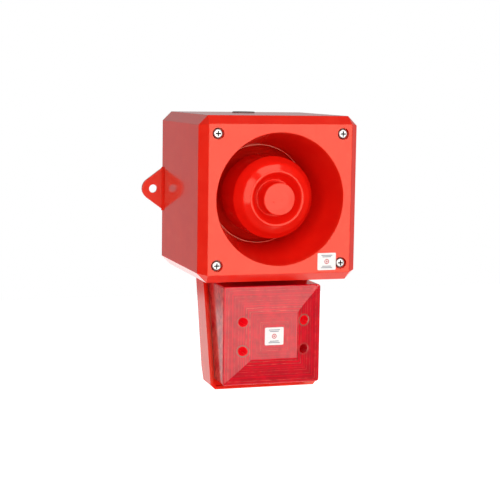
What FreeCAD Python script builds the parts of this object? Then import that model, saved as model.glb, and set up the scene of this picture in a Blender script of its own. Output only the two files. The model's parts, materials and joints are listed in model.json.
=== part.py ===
import FreeCAD, Part
import math
import os

# Wall-mounted horn strobe: a re-entrant alarm horn in a square housing, with a flashing lamp
# below it. Millimetres. X runs right as seen from the front, Y runs back into the wall, Z runs up.
# The origin is the centre of the housing's back face. "Depth" is the distance in front of the
# wall, so a point at depth d has Y = -d.

# --- Housing and cover ---
HOUSING_HALF = 83.0
CORNER_CHAMFER = 9.6
WALL = 4.0
SEAM_DEPTH = 138.0
BEVEL_DEPTH = 146.0
FACE_DEPTH = 155.3
FACE_HALF = 74.7
EDGE_RADIUS = 0.9
SCREW_PLACE = 65.2
BOSS_RADIUS = 7.0

# --- Mounting lugs ---
LUG_HOLE_X = 94.0
LUG_HOLE_RADIUS = 4.5
LUG_TIP_RADIUS = 12.0
LUG_ROOT_HALF = 24.5
LUG_THICKNESS = 4.0

# --- Cable entries ---
TOP_ENTRY_DEPTH = 25.5
SIDE_ENTRY_DEPTH = 45.0
ENTRY_RADIUS = 10.25
NIPPLE_DEPTH = 62.6
NIPPLE_RADIUS = 6.0

# --- Horn ---
MOUTH_RADIUS = 66.4
FLARE_END_RADIUS = 51.4
FLARE_END_DEPTH = 82.0
FLARE_SKIN = 3.0
BOWL_RADIUS = 50.8
BOWL_FLOOR_DEPTH = 66.0
BOWL_BACK_DEPTH = 60.0
THROAT_RADIUS = 7.5
THROAT_TIP_DEPTH = 119.0
THROAT_TUBE_RADIUS = 13.5
THROAT_FLANGE_RADIUS = 22.0
HORN_FLANGE_RADIUS = 62.0
HORN_SCREW_CIRCLE = 58.2
DRIVER_SCREW_CIRCLE = 43.4
CASE_BACK_DEPTH = 24.0
CASE_RADIUS = 40.0
COIL_RADIUS = 12.9

# --- Circuit board ---
PCB_DEPTH = 12.0
PCB_THICKNESS = 1.6
PCB_FACE = PCB_DEPTH + PCB_THICKNESS
PCB_HALF_X = 70.0
PCB_HALF_Z = 54.0
PCB_SCREW_X = 64.0
PCB_SCREW_Z = 48.0

# --- Strobe ---
BASE_HALF = 58.0
BASE_WALL = 3.0
BASE_TOP = -HOUSING_HALF
BASE_BOTTOM = -199.0
RIM_TOP_DEPTH = 77.9
RIM_SLOPE = 0.307
BACK_TOP_DEPTH = 49.0
BACK_SLOPE = 0.273
LENS_HALF = 51.9
LENS_TOP = -89.4
LENS_BOTTOM = -190.9
LENS_CENTRE = -140.0
LENS_EDGE_DEPTH = 134.7
LENS_FACE_DEPTH = 142.1
LENS_FACE_HALF = 24.7
LENS_WALL = 2.4
SEAT_OFFSET = -5.0
GASKET_THICKNESS = 1.2
POCKET_X = 32.6
POCKET_Z = 14.9
POCKET_RADIUS = 4.8
POCKET_FLOOR_DEPTH = 95.0
POST_TOP_DEPTH = 91.7
STROBE_PCB_DEPTH = 84.0

FORWARD = FreeCAD.Vector(0, -1, 0)
UP = FreeCAD.Vector(0, 0, 1)
RIGHT = FreeCAD.Vector(1, 0, 0)
SIGNS = (-1, 1)


# --- Shape helpers ---

def at(x, depth, z):
    return FreeCAD.Vector(x, -depth, z)


def block(x_range, depth_range, z_range):
    width, length, height = (high - low for low, high in (x_range, depth_range, z_range))
    return Part.makeBox(width, length, height, at(x_range[0], depth_range[1], z_range[0]))


def rod(x, z, radius, near, far):
    return Part.makeCylinder(radius, far - near, at(x, near, z), FORWARD)


def ring(x, z, outer, inner, near, far):
    return rod(x, z, outer, near, far).cut(rod(x, z, inner, near - 1, far + 1))


def fuse(shapes):
    first, *rest = shapes
    return first.multiFuse(rest).removeSplitter() if rest else first


def middle_of(edge):
    return edge.valueAt((edge.FirstParameter + edge.LastParameter) / 2)


def soften(shape, radius, chosen):
    """Rounds the edges that chosen accepts, given each edge's middle (x, depth, z)."""
    edges = []
    for edge in shape.Edges:
        middle = middle_of(edge)
        if chosen(middle.x, -middle.y, middle.z):
            edges.append(edge)
    return shape.makeFillet(radius, edges)


def corner_arc(before, here, after, radius):
    to_before = (before - here).normalize()
    to_after = (after - here).normalize()
    half_angle = to_before.getAngle(to_after) / 2
    reach = radius / math.tan(half_angle)
    inward = (to_before + to_after).normalize()
    middle = here + inward * (radius / math.sin(half_angle) - radius)
    return here + to_before * reach, middle, here + to_after * reach


def rounded_wire(corners, place, closed=True):
    """Straight runs through corners (a, b) or (a, b, radius), with tangent arcs at the radii."""
    points = [place(corner[0], corner[1]) for corner in corners]
    count = len(points)
    stops = []
    for i, corner in enumerate(corners):
        if len(corner) > 2:
            stops.append(corner_arc(points[i - 1], points[i], points[(i + 1) % count], corner[2]))
        else:
            stops.append((points[i],))
    edges = []
    for i, stop in enumerate(stops):
        if len(stop) == 3:
            edges.append(Part.Arc(*stop).toShape())
        if i + 1 < count or closed:
            following = stops[(i + 1) % count][0]
            if stop[-1].distanceToPoint(following) > 1e-6:
                edges.append(Part.makeLine(stop[-1], following))
    return Part.Wire(edges)


def front_plate(corners, near, far):
    """A plate whose (x, z) outline is seen from the front."""
    face = Part.Face(rounded_wire(corners, lambda x, z: at(x, near, z)))
    return face.extrude(FORWARD * (far - near))


def side_plate(corners, left, right):
    """A plate whose (depth, z) outline is seen from the side."""
    face = Part.Face(rounded_wire(corners, lambda depth, z: at(left, depth, z)))
    return face.extrude(RIGHT * (right - left))


def turned(corners, x=0, z=0):
    """A solid of revolution about the front-to-back line through (x, z), from (radius, depth)."""
    face = Part.Face(rounded_wire(corners, lambda radius, depth: at(radius, depth, 0)))
    solid = face.revolve(FreeCAD.Vector(), FreeCAD.Vector(0, 1, 0), 360)
    solid.translate(FreeCAD.Vector(x, 0, z))
    return solid


def turned_upright(corners, x, depth):
    """A solid of revolution about a vertical line, from (radius, z)."""
    face = Part.Face(rounded_wire(corners, lambda radius, z: FreeCAD.Vector(radius, 0, z)))
    solid = face.revolve(FreeCAD.Vector(), UP, 360)
    solid.translate(at(x, depth, 0))
    return solid


def polyhedron(rings):
    """A closed solid through rings of corners; a one-point neighbour closes to a triangle."""
    faces = [Part.Face(Part.makePolygon(rings[0] + rings[0][:1]))]
    faces.append(Part.Face(Part.makePolygon(rings[-1] + rings[-1][:1])))
    for low, high in zip(rings, rings[1:]):
        for i in range(len(low)):
            j = (i + 1) % len(low)
            loop = [low[i], low[j]]
            loop += [p for p in (high[j], high[i]) if p.distanceToPoint(loop[-1]) > 1e-6]
            if len(loop) == 4 and loop[2].distanceToPoint(loop[3]) < 1e-6:
                loop.pop()
            faces.append(Part.Face(Part.makePolygon(loop + loop[:1])))
    return Part.makeSolid(Part.makeShell(faces))


def octagon(half, chamfer):
    inner = half - chamfer
    return [
        (inner, half), (half, inner), (half, -inner), (inner, -half),
        (-inner, -half), (-half, -inner), (-half, inner), (-inner, half),
    ]


def bevelled_box(half, chamfer, near, bevel, face_half, far):
    """An octagonal prism whose front narrows to a plain square."""
    outline = octagon(half, chamfer)
    square = [(math.copysign(face_half, x), math.copysign(face_half, z)) for x, z in outline]
    rings = [[at(x, near, z) for x, z in outline]]
    rings.append([at(x, bevel, z) for x, z in outline])
    body = polyhedron(rings)
    corners = [at(x, far, z) for x, z in square]
    base = rings[1]
    faces = [Part.Face(Part.makePolygon(base + base[:1]))]
    faces.append(Part.Face(Part.makePolygon([corners[i] for i in (0, 2, 4, 6, 0)])))
    for i in range(8):
        j = (i + 1) % 8
        loop = [base[i], base[j], corners[j]]
        if corners[i].distanceToPoint(corners[j]) > 1e-6:
            loop.append(corners[i])
        faces.append(Part.Face(Part.makePolygon(loop + loop[:1])))
    return body.fuse(Part.makeSolid(Part.makeShell(faces))).removeSplitter()


def rounded_rectangle(half, bottom, top, radius):
    return [(-half, bottom, radius), (half, bottom, radius), (half, top, radius), (-half, top, radius)]


def screw(x, z, seat, head_radius, head_height, shank_radius, shank_length, facing=1):
    """A cross-recess pan-head screw seated at a depth; facing 1 has its head to the front."""
    top = seat + facing * head_height
    corners = [
        (0, seat - facing * shank_length),
        (shank_radius * 0.8, seat - facing * shank_length),
        (shank_radius, seat - facing * (shank_length - 1)),
        (shank_radius, seat),
        (head_radius, seat),
        (head_radius, top, head_height * 0.55),
        (0, top),
    ]
    solid = turned(corners, x, z)
    slot_low, slot_high = sorted((top - facing * head_height * 0.5, top + facing))
    arm, half_width = head_radius * 0.55, head_radius * 0.13
    for wide, tall in ((arm, half_width), (half_width, arm)):
        solid = solid.cut(block((x - wide, x + wide), (slot_low, slot_high), (z - tall, z + tall)))
    return solid


def hexagon_bar(depth, low, high, across_half):
    corners = []
    for i in range(6):
        angle = math.radians(60 * i + 30)
        radius = across_half / math.cos(math.radians(30))
        corners.append(at(radius * math.cos(angle), depth + radius * math.sin(angle), low))
    return Part.Face(Part.makePolygon(corners + corners[:1])).extrude(UP * (high - low))


def hexagon_nut(depth, low, high, across_half, bore):
    nut = hexagon_bar(depth, low, high, across_half)
    return nut.cut(Part.makeCylinder(bore, high - low + 2, at(0, depth, low - 1), UP))


def four_corners(x, z):
    return [(sx * x, sz * z) for sx in SIGNS for sz in SIGNS]


def circle_places(radius, count, start):
    angles = [math.radians(start + 360 * i / count) for i in range(count)]
    return [(radius * math.cos(a), radius * math.sin(a)) for a in angles]


# --- Rear housing ---

def lug(side):
    """One ear: straight flanks run tangent from its root to a round end about the hole."""
    root_x, reach = HOUSING_HALF - 2, LUG_HOLE_X - HOUSING_HALF + 2
    slant = math.hypot(reach, LUG_ROOT_HALF)
    turn = math.acos(LUG_TIP_RADIUS / slant)
    toward_root = math.atan2(LUG_ROOT_HALF, -reach)
    angle = toward_root - turn
    touch_x = LUG_HOLE_X + LUG_TIP_RADIUS * math.cos(angle)
    touch_z = LUG_TIP_RADIUS * math.sin(angle)
    points = [at(side * x, 0, z) for x, z in (
        (root_x, -LUG_ROOT_HALF), (touch_x, -touch_z),
        (LUG_HOLE_X + LUG_TIP_RADIUS, 0), (touch_x, touch_z), (root_x, LUG_ROOT_HALF),
    )]
    edges = [
        Part.makeLine(points[0], points[1]),
        Part.Arc(points[1], points[2], points[3]).toShape(),
        Part.makeLine(points[3], points[4]),
        Part.makeLine(points[4], points[0]),
    ]
    ear = Part.Face(Part.Wire(edges)).extrude(FORWARD * LUG_THICKNESS)
    fillet = 2.0
    wall_x = side * HOUSING_HALF
    corners = [
        at(wall_x, LUG_THICKNESS, -LUG_ROOT_HALF + 1),
        at(wall_x + side * fillet, LUG_THICKNESS, -LUG_ROOT_HALF + 1),
        at(wall_x, LUG_THICKNESS + fillet, -LUG_ROOT_HALF + 1),
    ]
    web = Part.Face(Part.makePolygon(corners + corners[:1])).extrude(UP * (2 * LUG_ROOT_HALF - 2))
    hole = rod(side * LUG_HOLE_X, 0, LUG_HOLE_RADIUS, -1, LUG_THICKNESS + 1)
    return ear.fuse(web), hole


def housing_rim_groove():
    outer = front_plate(octagon(82.0, 9.2), SEAM_DEPTH - 1.5, SEAM_DEPTH + 1)
    return outer.cut(front_plate(octagon(80.2, 8.4), SEAM_DEPTH - 2, SEAM_DEPTH + 2))


def rear_housing():
    inner_half = HOUSING_HALF - WALL
    shell = front_plate(octagon(HOUSING_HALF, CORNER_CHAMFER), 0, SEAM_DEPTH)
    shell = soften(shell, EDGE_RADIUS, lambda x, depth, z: 1 < depth < SEAM_DEPTH - 1)
    shell = shell.cut(front_plate(octagon(inner_half, 8.0), WALL, SEAM_DEPTH + 1))
    added, holes = [shell], [housing_rim_groove()]
    for side in SIGNS:
        ear, hole = lug(side)
        added.append(ear)
        holes.append(hole)
    for x, z in four_corners(SCREW_PLACE, SCREW_PLACE):
        sx, sz = math.copysign(1, x), math.copysign(1, z)
        added.append(rod(x, z, BOSS_RADIUS, WALL - 1, SEAM_DEPTH))
        rib_x = sorted((x, sx * (inner_half + 1)))
        rib_z = sorted((z, sz * (inner_half + 1)))
        added.append(block(rib_x, (WALL - 1, SEAM_DEPTH - 6), (z - 1.5, z + 1.5)))
        added.append(block((x - 1.5, x + 1.5), (WALL - 1, SEAM_DEPTH - 6), rib_z))
        holes.append(rod(x, z, 2.8, SEAM_DEPTH - 34, SEAM_DEPTH + 1))
    for x, z in four_corners(PCB_SCREW_X, PCB_SCREW_Z):
        added.append(rod(x, z, 4.0, WALL - 1, PCB_DEPTH))
        holes.append(rod(x, z, 1.5, WALL, PCB_DEPTH + 1))
    side_bore = Part.makeCylinder(ENTRY_RADIUS, 20, at(inner_half - 10, SIDE_ENTRY_DEPTH, 0), RIGHT)
    top_bore = Part.makeCylinder(ENTRY_RADIUS, 20, at(0, TOP_ENTRY_DEPTH, inner_half - 10), UP)
    nipple_bore = Part.makeCylinder(NIPPLE_RADIUS, 20, at(0, NIPPLE_DEPTH, -HOUSING_HALF - 10), UP)
    body = fuse(added)
    for hole in holes + [side_bore, top_bore, nipple_bore]:
        body = body.cut(hole)
    return body


def housing_gasket():
    outer = front_plate(octagon(82.0, 9.2), SEAM_DEPTH - 1.5, SEAM_DEPTH)
    return outer.cut(front_plate(octagon(80.2, 8.4), SEAM_DEPTH - 2, SEAM_DEPTH + 1))


def top_entry_plug():
    """A flanged blanking plug with a hexagon key socket in its top."""
    top = HOUSING_HALF
    corners = [
        (0, top - 14), (8.5, top - 14), (9.9, top - 12.5), (9.9, top),
        (12, top), (12, top + 1.0, 0.6), (0, top + 1.0),
    ]
    plug = turned_upright(corners, 0, TOP_ENTRY_DEPTH)
    return plug.cut(hexagon_bar(TOP_ENTRY_DEPTH, top - 5, top + 3, 5))


def top_plug_nut():
    low = HOUSING_HALF - WALL - 4.5
    return hexagon_nut(TOP_ENTRY_DEPTH, low, low + 4.5, 13.0, 9.9)


def coupling_nipple():
    low, high = BASE_TOP - 8, BASE_TOP + WALL + 6
    return turned_upright([(4, low), (NIPPLE_RADIUS, low), (NIPPLE_RADIUS, high), (4, high)],
                          0, NIPPLE_DEPTH)


def coupling_nuts():
    above = hexagon_nut(NIPPLE_DEPTH, BASE_TOP + WALL, BASE_TOP + WALL + 4, 7.6, NIPPLE_RADIUS)
    below_top = BASE_TOP - BASE_WALL
    below = hexagon_nut(NIPPLE_DEPTH, below_top - 4, below_top, 7.2, NIPPLE_RADIUS)
    return Part.makeCompound([above, below])


# --- Electronics in the housing ---

def main_pcb():
    board = front_plate(rounded_rectangle(PCB_HALF_X, -PCB_HALF_Z, PCB_HALF_Z, 3), PCB_DEPTH, PCB_FACE)
    for x, z in four_corners(PCB_SCREW_X, PCB_SCREW_Z):
        board = board.cut(rod(x, z, 1.7, PCB_DEPTH - 1, PCB_FACE + 1))
    return board


def main_pcb_screws():
    return Part.makeCompound([
        screw(x, z, PCB_FACE, 2.8, 2.0, 1.5, 8.0) for x, z in four_corners(PCB_SCREW_X, PCB_SCREW_Z)
    ])


TERMINAL_X = (-64.0, -52.0)
TERMINAL_PITCH = 5.08
TERMINAL_COUNT = 6
TERMINAL_LOW = -18.0


def terminal_places():
    centre = sum(TERMINAL_X) / 2
    first = TERMINAL_LOW + TERMINAL_PITCH / 2
    return [(centre, first + TERMINAL_PITCH * i) for i in range(TERMINAL_COUNT)]


def terminal_block():
    high = TERMINAL_LOW + TERMINAL_PITCH * TERMINAL_COUNT
    top = PCB_FACE + 11
    body = block(TERMINAL_X, (PCB_FACE, top), (TERMINAL_LOW, high))
    for x, z in terminal_places():
        body = body.cut(rod(x, z, 1.9, top - 6, top + 1))
        mouth = block((TERMINAL_X[0] - 1, TERMINAL_X[0] + 3.5), (PCB_FACE + 1.5, PCB_FACE + 4.5),
                      (z - 1.6, z + 1.6))
        body = body.cut(mouth)
    return body


def terminal_screws():
    top = PCB_FACE + 9.5
    slot = 0.35
    screws = []
    for x, z in terminal_places():
        head = rod(x, z, 1.8, top - 4.5, top)
        screws.append(head.cut(block((x - 2, x + 2), (top - 0.8, top + 1), (z - slot, z + slot))))
    return Part.makeCompound(screws)


SWITCH_X = (49.5, 58.5)
SWITCH_LOW = -40.0
SWITCH_PITCH = 2.54
SWITCH_COUNT = 5
SWITCH_TOP = PCB_FACE + 5
SWITCH_SLOT_X = (51.9, 56.1)


def switch_row(number):
    return SWITCH_LOW + 0.55 + SWITCH_PITCH * (number - 0.5)


def tone_switch_case():
    high = SWITCH_LOW + 1.1 + SWITCH_PITCH * SWITCH_COUNT
    case = block(SWITCH_X, (PCB_FACE, SWITCH_TOP), (SWITCH_LOW, high))
    for number in range(1, SWITCH_COUNT + 1):
        z = switch_row(number)
        case = case.cut(block(SWITCH_SLOT_X, (SWITCH_TOP - 1.6, SWITCH_TOP + 1), (z - 0.8, z + 0.8)))
    return case


def tone_slider(number):
    z = switch_row(number)
    left = SWITCH_SLOT_X[0] + 0.1
    return block((left, left + 2.3), (SWITCH_TOP - 1.5, SWITCH_TOP + 0.8), (z - 0.6, z + 0.6))


VOLUME_X, VOLUME_Z = 55.0, 30.0


def volume_pot_case():
    case = block((VOLUME_X - 5, VOLUME_X + 5), (PCB_FACE, PCB_FACE + 4.8), (VOLUME_Z - 5, VOLUME_Z + 5))
    return case.cut(rod(VOLUME_X, VOLUME_Z, 3.6, PCB_FACE + 3, PCB_FACE + 6))


def volume_rotor():
    low, high = PCB_FACE + 3.1, PCB_FACE + 5.6
    rotor = rod(VOLUME_X, VOLUME_Z, 3.3, low, high)
    slot = block((VOLUME_X - 4, VOLUME_X + 4), (high - 0.9, high + 1), (VOLUME_Z - 0.45, VOLUME_Z + 0.45))
    return rotor.cut(slot)


def smoothing_capacitors():
    cans = []
    for z in (-38.0, 36.0):
        can = turned([
            (0, PCB_FACE), (7.6, PCB_FACE), (8, PCB_FACE + 1), (8, PCB_FACE + 2.2),
            (7.4, PCB_FACE + 3), (8, PCB_FACE + 3.8), (8, PCB_FACE + 30, 1), (0, PCB_FACE + 30),
        ], -54, z)
        for wide, tall in ((5, 0.3), (0.3, 5)):
            can = can.cut(block((-54 - wide, -54 + wide), (PCB_FACE + 29.7, PCB_FACE + 31),
                                (z - tall, z + tall)))
        cans.append(can)
    return Part.makeCompound(cans)


def transformer():
    """A wound bobbin inside a square ferrite core."""
    x, depth, z = 57.0, PCB_FACE + 12.4, 3.0
    core = block((x - 9, x + 9), (depth - 9, depth + 9), (z - 9, z + 9))
    core = core.cut(block((x - 6.5, x + 6.5), (depth - 10, depth + 10), (z - 6.5, z + 6.5)))
    winding = rod(x, z, 6.4, depth - 8.0, depth + 8.0)
    bridge = block((x - 3, x + 3), (depth - 6, depth + 6), (z - 8, z + 8))
    foot = block((x - 9.5, x + 9.5), (PCB_FACE, depth - 9), (z - 9.5, z + 9.5))
    post = rod(x, z, 3, depth - 10, depth + 8)
    return fuse([core, winding, bridge, foot, post])


def control_chips():
    places = [((-14, 2), (-12, -2)), ((14, 22), (-16, 4)), ((-30, -16), (16, 26))]
    return Part.makeCompound([
        block(x_range, (PCB_FACE, PCB_FACE + 1.8), sorted(z_range)) for x_range, z_range in places
    ])


def lead_sockets():
    upper = block((-5, 5), (PCB_FACE, PCB_FACE + 6), (44, 52))
    upper = upper.cut(block((-3.4, 3.4), (PCB_FACE + 2, PCB_FACE + 7), (45.6, 50.4)))
    lower = block((-5, 5), (PCB_FACE, PCB_FACE + 6.5), (-52, -44))
    return Part.makeCompound([upper, lower])


# --- Cover and horn ---

def flare_radius(depth):
    """The horn widens a little faster than a straight cone towards its mouth."""
    share = (depth - FLARE_END_DEPTH) / (FACE_DEPTH - FLARE_END_DEPTH)
    return FLARE_END_RADIUS + (MOUTH_RADIUS - FLARE_END_RADIUS) * (0.85 * share + 0.15 * share ** 2)


def horn_flare():
    """The horn's widening wall, bonded behind the cover's face, with a flange at its rear."""
    front = FACE_DEPTH - WALL
    middle = (FLARE_END_DEPTH + front) / 2
    inner = [at(flare_radius(d), d, 0) for d in (FLARE_END_DEPTH, middle, front)]
    skin = FreeCAD.Vector(FLARE_SKIN, 0, 0)
    outer = [point + skin for point in inner]
    edges = [
        Part.Arc(*inner).toShape(), Part.makeLine(inner[2], outer[2]),
        Part.Arc(*outer).toShape(), Part.makeLine(outer[0], inner[0]),
    ]
    wall = Part.Face(Part.Wire(edges)).revolve(FreeCAD.Vector(), FreeCAD.Vector(0, 1, 0), 360)
    rear_flange = ring(0, 0, HORN_FLANGE_RADIUS, FLARE_END_RADIUS + 1.5,
                       FLARE_END_DEPTH, FLARE_END_DEPTH + 5.5)
    horn = wall.fuse(rear_flange)
    for x, z in circle_places(HORN_SCREW_CIRCLE, 4, 45):
        horn = horn.cut(rod(x, z, 1.5, FLARE_END_DEPTH - 1, FLARE_END_DEPTH + 4.5))
    return horn


def front_cover():
    """The bevelled front, whose mouth edge carries the flare's line on to the face."""
    outer = bevelled_box(HOUSING_HALF, CORNER_CHAMFER, SEAM_DEPTH, BEVEL_DEPTH, FACE_HALF, FACE_DEPTH)
    outer = soften(outer, EDGE_RADIUS, lambda x, depth, z: depth > SEAM_DEPTH + 1)
    hollow = bevelled_box(HOUSING_HALF - WALL, 8.0, SEAM_DEPTH - 1, BEVEL_DEPTH - 2,
                          FACE_HALF - 3.5, FACE_DEPTH - WALL)
    back = FACE_DEPTH - WALL
    mouth = turned([
        (0, back - 1), (flare_radius(back), back - 1), (flare_radius(back), back),
        (MOUTH_RADIUS, FACE_DEPTH, 0.8), (MOUTH_RADIUS + 6, FACE_DEPTH), (MOUTH_RADIUS + 6, FACE_DEPTH + 2),
        (0, FACE_DEPTH + 2),
    ])
    cover = outer.cut(hollow).cut(mouth)
    bosses = [rod(x, z, 8.0, SEAM_DEPTH + 0.3, FACE_DEPTH - 2)
              for x, z in four_corners(SCREW_PLACE, SCREW_PLACE)]
    cover = fuse([cover] + bosses)
    for x, z in four_corners(SCREW_PLACE, SCREW_PLACE):
        cover = cover.cut(rod(x, z, 6.0, FACE_DEPTH - 4, FACE_DEPTH + 1))
        cover = cover.cut(rod(x, z, 2.8, SEAM_DEPTH - 1, FACE_DEPTH))
    return cover


def cover_screws():
    return Part.makeCompound([
        screw(x, z, FACE_DEPTH - 3.4, 4.8, 2.9, 2.5, 42.0)
        for x, z in four_corners(SCREW_PLACE, SCREW_PLACE)
    ])


def cover_screw_seals():
    return Part.makeCompound([
        ring(x, z, 5.2, 2.6, FACE_DEPTH - 4, FACE_DEPTH - 3.4)
        for x, z in four_corners(SCREW_PLACE, SCREW_PLACE)
    ])


def horn_bowl():
    """The rear of the horn, where the sound turns forward again."""
    corners = [
        (BOWL_RADIUS, FLARE_END_DEPTH),
        (BOWL_RADIUS, BOWL_FLOOR_DEPTH, 9),
        (THROAT_FLANGE_RADIUS, BOWL_FLOOR_DEPTH),
        (THROAT_FLANGE_RADIUS, BOWL_BACK_DEPTH + 3),
        (27.8, BOWL_BACK_DEPTH + 3),
        (27.8, BOWL_BACK_DEPTH),
        (47, BOWL_BACK_DEPTH),
        (53.6, BOWL_BACK_DEPTH + 6),
        (53.6, FLARE_END_DEPTH - 3),
        (HORN_FLANGE_RADIUS, FLARE_END_DEPTH - 3),
        (HORN_FLANGE_RADIUS, FLARE_END_DEPTH),
    ]
    bowl = turned(corners)
    for x, z in circle_places(HORN_SCREW_CIRCLE, 4, 45):
        bowl = bowl.cut(rod(x, z, 1.5, FLARE_END_DEPTH - 4, FLARE_END_DEPTH + 1))
    for x, z in circle_places(DRIVER_SCREW_CIRCLE, 4, 0):
        bowl = bowl.cut(rod(x, z, 1.7, BOWL_BACK_DEPTH - 1, BOWL_BACK_DEPTH + 4.5))
    return bowl


def throat_tube():
    """The narrow start of the horn, pressed into the bowl's middle."""
    return turned([
        (THROAT_FLANGE_RADIUS, BOWL_BACK_DEPTH + 3),
        (THROAT_FLANGE_RADIUS, BOWL_FLOOR_DEPTH),
        (THROAT_TUBE_RADIUS + 1.5, BOWL_FLOOR_DEPTH, 3),
        (THROAT_TUBE_RADIUS, 88),
        (THROAT_TUBE_RADIUS, THROAT_TIP_DEPTH - 1),
        (THROAT_TUBE_RADIUS - 1, THROAT_TIP_DEPTH),
        (THROAT_TUBE_RADIUS - 2.4, THROAT_TIP_DEPTH - 0.5),
        (THROAT_RADIUS, BOWL_BACK_DEPTH + 3),
    ])


def horn_screws():
    return Part.makeCompound([
        screw(x, z, FLARE_END_DEPTH - 3, 2.8, 2.0, 1.5, 7.0, -1)
        for x, z in circle_places(HORN_SCREW_CIRCLE, 4, 45)
    ])


def horn_reflector():
    """A bell over the throat: a button, a round V groove beside it, and a broad sloping shoulder."""
    corners = [
        (0, 152.2),
        (9.0, 152.2, 20.0),
        (15.8, 151.5),
        (16.6, 150.5, 0.6),
        (17.6, 132.0, 1.0),
        (26.4, 146.4, 2.5),
        (35.5, 140.5, 9.0),
        (41.8, 130.0, 2.2),
        (42.6, 90.0),
        (40.4, 90.0),
        (39.4, 127.6, 2.0),
        (33.9, 138.0, 6.0),
        (27.6, 142.4, 1.0),
        (18.8, 128.6, 1.2),
        (15.2, 128.6, 1.2),
        (14.2, 148.4, 1.0),
        (8.0, 149.2),
        (0, 149.2),
    ]
    return turned(corners)


def reflector_spider():
    """A hub on the throat tube, whose three fins carry the reflector."""
    hub = ring(0, 0, THROAT_TUBE_RADIUS + 2.3, THROAT_TUBE_RADIUS, 93, 113)
    limit = turned([(0, 90), (40.35, 90), (39.45, 125), (0, 125)])
    fins = []
    for angle in (90, 210, 330):
        fin = block((THROAT_TUBE_RADIUS + 1.2, 42.0), (95, 112), (-1, 1))
        fin.rotate(FreeCAD.Vector(), FreeCAD.Vector(0, 1, 0), -angle)
        fins.append(fin.common(limit))
    return hub.multiFuse(fins)


# --- Sound driver ---

def driver_case():
    back = CASE_BACK_DEPTH
    corners = [
        (0, back), (CASE_RADIUS, back, 2), (CASE_RADIUS, BOWL_BACK_DEPTH - 4),
        (46.5, BOWL_BACK_DEPTH - 4), (46.5, BOWL_BACK_DEPTH), (36.2, BOWL_BACK_DEPTH),
        (36.2, back + 3), (0, back + 3),
    ]
    case = turned(corners)
    case = case.fuse(block((-5, 5), (back + 10, back + 20), (CASE_RADIUS - 1.5, CASE_RADIUS + 2)))
    for x, z in circle_places(DRIVER_SCREW_CIRCLE, 4, 0):
        case = case.cut(rod(x, z, 1.75, BOWL_BACK_DEPTH - 5, BOWL_BACK_DEPTH + 1))
    return case


def pole_plate():
    back = CASE_BACK_DEPTH + 3
    return fuse([rod(0, 0, 34, back, back + 5), rod(0, 0, COIL_RADIUS - 1.0, back + 4, back + 23)])


def driver_magnet():
    back = CASE_BACK_DEPTH + 8
    return ring(0, 0, 33, 18, back, back + 12)


def top_plate():
    back = CASE_BACK_DEPTH + 20
    return ring(0, 0, 36, COIL_RADIUS + 1.0, back, back + 6)


def diaphragm_ring():
    return ring(0, 0, 36, 28, CASE_BACK_DEPTH + 26, BOWL_BACK_DEPTH)


def driver_screws():
    return Part.makeCompound([
        screw(x, z, BOWL_BACK_DEPTH - 4, 2.9, 2.2, 1.7, 7.5, -1)
        for x, z in circle_places(DRIVER_SCREW_CIRCLE, 4, 0)
    ])


DIAPHRAGM_DEPTH = 56.0


def diaphragm():
    """A thin dome inside a rolled edge."""
    d, skin = DIAPHRAGM_DEPTH, 0.6
    corners = [
        (0, d + 4.0), (4, d + 4.0, 9), (9, d + 2.9, 9), (13.4, d + skin), (18, d + skin, 2),
        (21.5, d + 2.2, 2), (25, d + skin, 2), (27.4, d + skin), (27.4, d), (24.8, d, 2),
        (21.5, d + 1.5, 2), (18.2, d, 2), (13.1, d), (8.7, d + 2.3, 9), (4, d + 3.4, 9), (0, d + 3.4),
    ]
    return turned(corners)


def voice_coil():
    return ring(0, 0, COIL_RADIUS + 0.35, COIL_RADIUS - 0.35, DIAPHRAGM_DEPTH - 9.5, DIAPHRAGM_DEPTH)


def swept_lead(corners, x, radius):
    path = rounded_wire(corners, lambda depth, z: at(x, depth, z), closed=False)
    start = path.Edges[0]
    direction = start.tangentAt(start.FirstParameter)
    section = Part.Wire(Part.makeCircle(radius, path.Vertexes[0].Point, direction))
    return path.makePipeShell([section], True, False)


PLUG_FRONT = PCB_FACE + 13


def driver_plug():
    """It pushes into the upper board socket and pulls straight out with the cover."""
    nose = block((-3.2, 3.2), (PCB_FACE + 2.3, PCB_FACE + 7), (45.8, 50.2))
    grip = block((-4.6, 4.6), (PCB_FACE + 6.2, PLUG_FRONT), (44.4, 51.6))
    return fuse([nose, grip])


def driver_lead():
    turn_depth = CASE_BACK_DEPTH + 15
    corners = [(PLUG_FRONT, 48), (turn_depth, 48, 4.5), (turn_depth, CASE_RADIUS + 2)]
    return Part.makeCompound([swept_lead(corners, x, 0.9) for x in (-1.5, 1.5)])


# --- Strobe ---

def rim_depth(z):
    return RIM_TOP_DEPTH + (BASE_TOP - z) * RIM_SLOPE


def slanted_slab(near, far):
    """Everything between two planes parallel to the strobe's slanted rim."""
    high, low = -60.0, -230.0
    return side_plate([
        (rim_depth(high) + near, high), (rim_depth(low) + near, low),
        (rim_depth(low) + far, low), (rim_depth(high) + far, high),
    ], -70, 70)


def back_depth(z):
    return BACK_TOP_DEPTH + (BASE_TOP - z) * BACK_SLOPE


def frame_outline(half, bottom, top, chamfer):
    return [(half, top), (half, bottom + chamfer), (half - chamfer, bottom),
            (-half + chamfer, bottom), (-half, bottom + chamfer), (-half, top)]


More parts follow.
